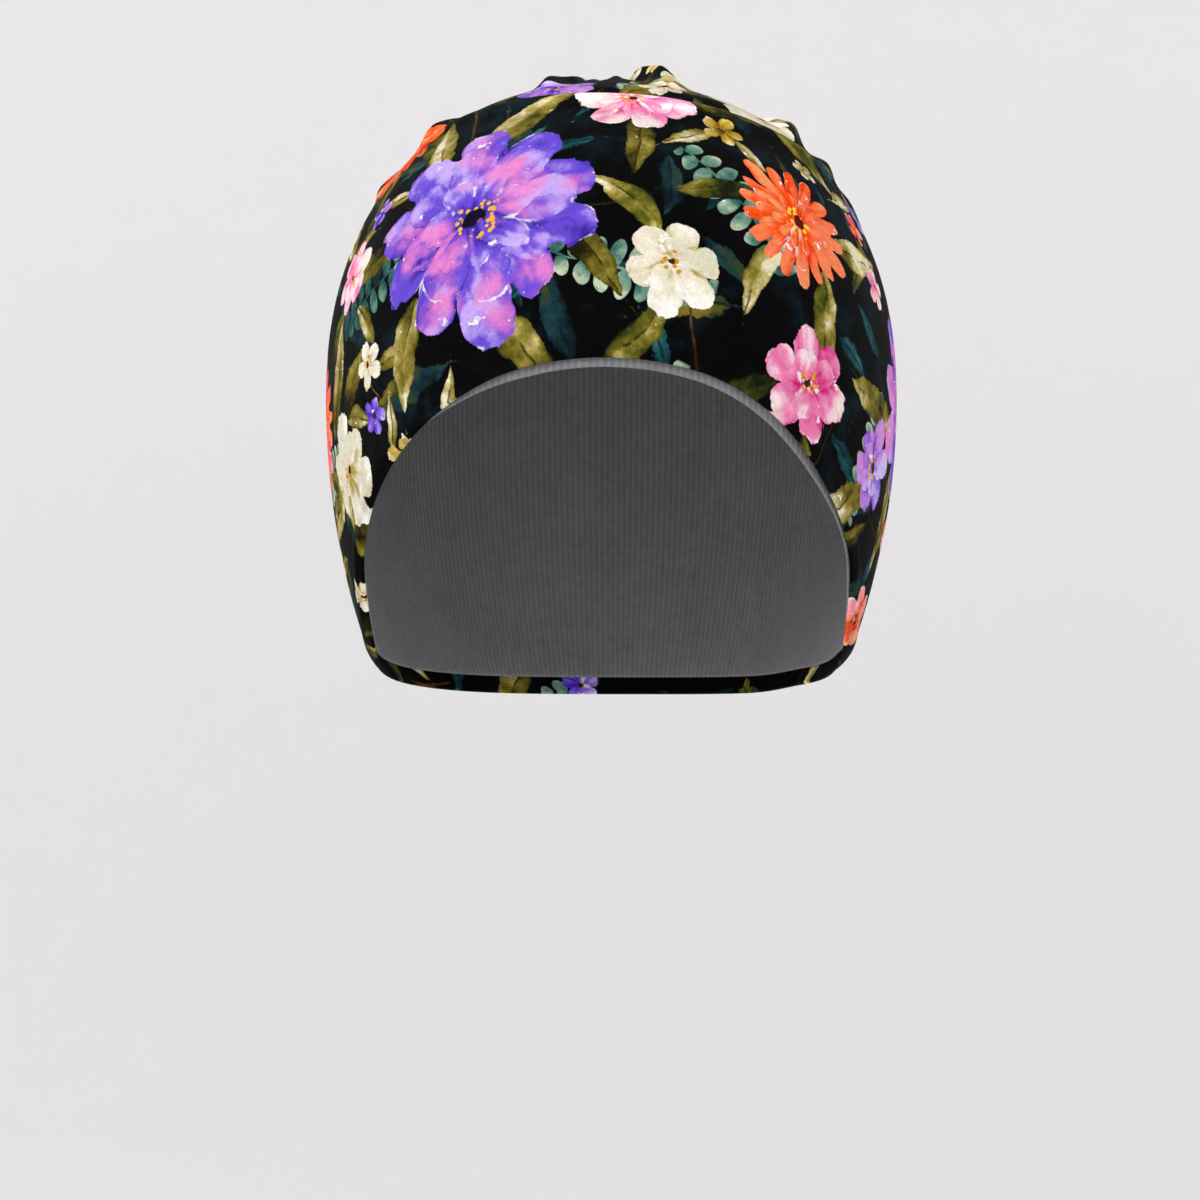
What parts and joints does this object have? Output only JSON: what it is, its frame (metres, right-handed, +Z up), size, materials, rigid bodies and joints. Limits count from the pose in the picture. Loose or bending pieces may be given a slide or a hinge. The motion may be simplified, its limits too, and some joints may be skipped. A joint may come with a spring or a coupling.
{
  "type": "comfort cap",
  "caption": "Close-fitting soft cap of two knit layers that covers the hairline, ears and nape, with a deep face opening, crown folds gathered behind the top and a floral print.",
  "frame": {"origin": "where the top of the wearer's head touches the lining", "axes": "+Z up, the face opening looks along -Y, and +X is on the viewer's right seen from the front"},
  "size_m": [0.1624, 0.1958, 0.1802],
  "materials": {
    "printed_knit": "matt stretch knit with a watercolour-style floral print on near-black",
    "lining_knit": "plain mid-grey ribbed knit"
  },
  "bodies": {
    "root": {"crown_shell": "printed_knit", "lining": "lining_knit"}
  },
  "joints": []
}
